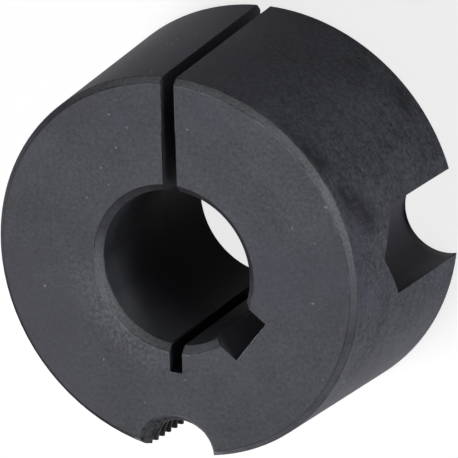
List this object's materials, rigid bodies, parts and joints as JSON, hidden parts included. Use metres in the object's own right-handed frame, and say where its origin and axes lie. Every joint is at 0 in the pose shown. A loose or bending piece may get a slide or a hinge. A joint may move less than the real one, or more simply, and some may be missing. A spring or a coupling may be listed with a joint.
{
  "type": "taper bush",
  "caption": "Split tapered clamping bush: keyed bore, saw cut, blind plain half-holes and a threaded half-hole round a coned outside.",
  "frame": {"origin": "on the axis of the bore, in the plane of the large end's face, on which the bush stands", "axes": "+Z along the bore towards the small end, +Y through the middle of the saw cut, +X by the right-hand rule, 4.9 degrees from the first plain half-hole"},
  "size_m": [0.0472, 0.0472, 0.0254],
  "materials": {
    "black_iron": "black phosphated, satin"
  },
  "bodies": {
    "root": {"taper_bush": "black_iron"}
  },
  "joints": []
}
